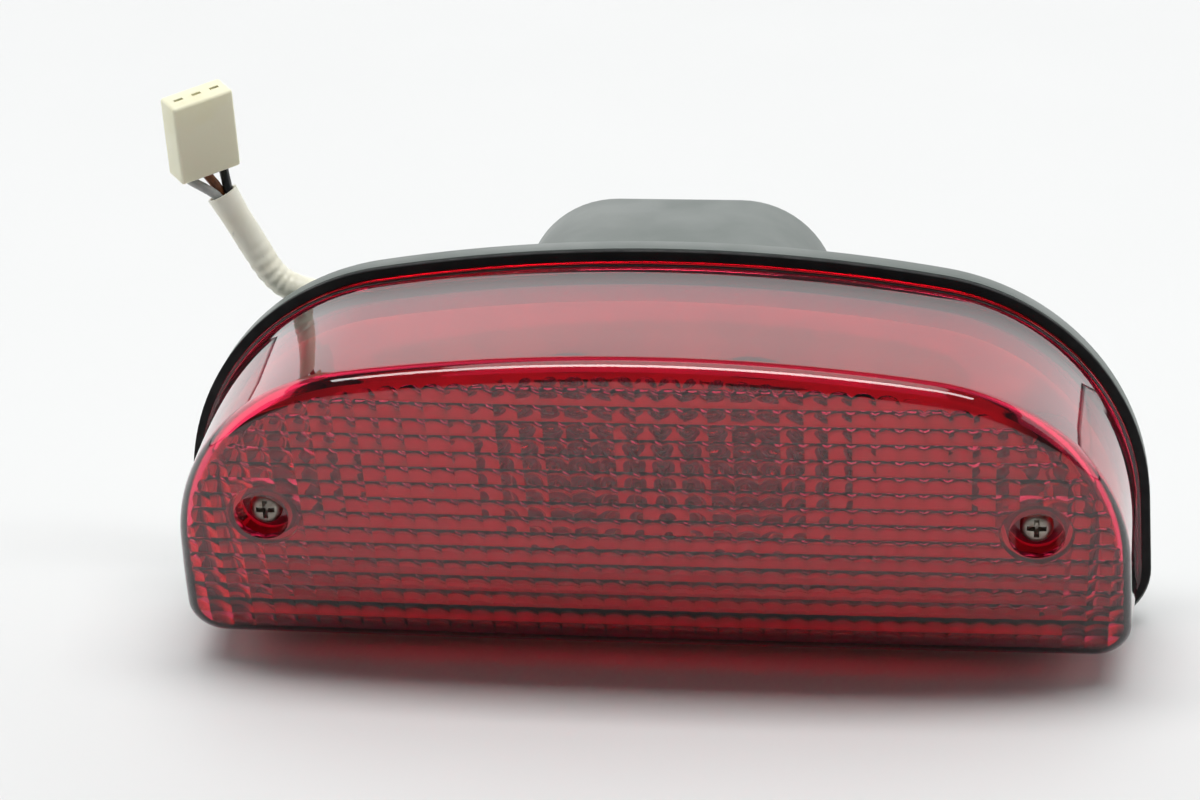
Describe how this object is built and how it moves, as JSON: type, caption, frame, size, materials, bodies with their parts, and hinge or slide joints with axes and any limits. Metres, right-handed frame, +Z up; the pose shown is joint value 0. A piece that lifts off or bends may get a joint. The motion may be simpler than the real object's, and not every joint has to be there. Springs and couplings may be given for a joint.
{
  "type": "motorcycle tail light",
  "caption": "Arched tail and brake light: a ribbed deep red lens screwed to a grey housing with bayonet bulbs, rear mounting studs and a short lead ending in a connector.",
  "frame": {"origin": "centre of the lamp's footprint at the level it stands on, measured without the free lead", "axes": "+X towards the lamp's right as seen from the front, +Y back into the vehicle, +Z up; the light shines along -Y"},
  "size_m": [0.2236, 0.1097, 0.1228],
  "materials": {
    "lens": "clear red acrylic, polished outside",
    "gasket": "matt black rubber",
    "housing": "fine-grained grey ABS",
    "reflector": "vacuum-metallised plastic",
    "steel": "zinc-plated, dulled",
    "brass": "plain brass",
    "glass": "clear bulb glass",
    "bulb_mount": "glass stem with wire supports and coiled filaments",
    "insulator": "brown phenolic board",
    "rubber": "black rubber",
    "sleeve": "soft cream PVC tube",
    "nylon": "natural nylon",
    "wire_grey": "PVC insulation",
    "wire_brown": "PVC insulation",
    "wire_black": "PVC insulation"
  },
  "bodies": {
    "root": {"lens": "lens", "lens_gasket": "gasket", "housing": "housing", "reflector": "reflector", "screw_seal_left": "rubber", "screw_insert_left": "brass", "mount_stud_left": "steel", "stud_washer_left": "steel", "socket_shell_left": "steel", "contact_spring_left": "steel", "socket_cap_left": "rubber", "screw_seal_right": "rubber", "screw_insert_right": "brass", "mount_stud_right": "steel", "stud_washer_right": "steel", "socket_shell_right": "steel", "contact_spring_right": "steel", "socket_cap_right": "rubber", "lead_grommet": "rubber", "inner_wire_grey": "wire_grey", "bridge_wire_grey": "wire_grey", "lead_wire_grey": "wire_grey", "terminal_grey": "brass", "inner_wire_brown": "wire_brown", "bridge_wire_brown": "wire_brown", "lead_wire_brown": "wire_brown", "terminal_brown": "brass", "inner_wire_black": "wire_black", "bridge_wire_black": "wire_black", "lead_wire_black": "wire_black", "terminal_black": "brass", "connector_housing": "nylon", "lead_sleeve": "sleeve"},
    "lens_screw_left": {"lens_screw_left": "steel"},
    "stud_nut_left": {"stud_nut_left": "steel"},
    "contact_left": {"contact_plate_left": "insulator", "contact_upper_left": "brass", "contact_lower_left": "brass"},
    "bulb_left": {"bulb_glass_left": "glass", "bulb_base_left": "brass", "bulb_filaments_left": "bulb_mount", "bulb_contacts_left": "insulator"},
    "lens_screw_right": {"lens_screw_right": "steel"},
    "stud_nut_right": {"stud_nut_right": "steel"},
    "contact_right": {"contact_plate_right": "insulator", "contact_upper_right": "brass", "contact_lower_right": "brass"},
    "bulb_right": {"bulb_glass_right": "glass", "bulb_base_right": "brass", "bulb_filaments_right": "bulb_mount", "bulb_contacts_right": "insulator"}
  },
  "joints": [
    {"name": "lens_screw_left_turn", "type": "hinge", "parent": "root", "child": "lens_screw_left", "pos_m": [-0.08385, -0.035, 0.04135], "axis": [0, 1, 0], "continuous": true},
    {"name": "stud_nut_left_turn", "type": "hinge", "parent": "root", "child": "stud_nut_left", "pos_m": [-0.062, 0.0246, 0.045], "axis": [0, 1, 0], "continuous": true},
    {"name": "bulb_left_push", "type": "slide", "parent": "root", "child": "contact_left", "axis": [0, 1, 0], "range_m": [0, 0.0025], "stiffness_N_per_m": 2000, "springref_m": -0.004, "deforming": ["contact_spring_left"]},
    {"name": "bulb_left_turn", "type": "hinge", "parent": "contact_left", "child": "bulb_left", "pos_m": [-0.02, 0.02, 0.043], "axis": [0, 1, 0], "range_deg": [-15, 0]},
    {"name": "lens_screw_right_turn", "type": "hinge", "parent": "root", "child": "lens_screw_right", "pos_m": [0.08385, -0.035, 0.04135], "axis": [0, 1, 0], "continuous": true},
    {"name": "stud_nut_right_turn", "type": "hinge", "parent": "root", "child": "stud_nut_right", "pos_m": [0.062, 0.0246, 0.045], "axis": [0, 1, 0], "continuous": true},
    {"name": "bulb_right_push", "type": "slide", "parent": "root", "child": "contact_right", "axis": [0, 1, 0], "range_m": [0, 0.0025], "stiffness_N_per_m": 2000, "springref_m": -0.004, "deforming": ["contact_spring_right"]},
    {"name": "bulb_right_turn", "type": "hinge", "parent": "contact_right", "child": "bulb_right", "pos_m": [0.02, 0.02, 0.043], "axis": [0, 1, 0], "range_deg": [-15, 0]}
  ]
}
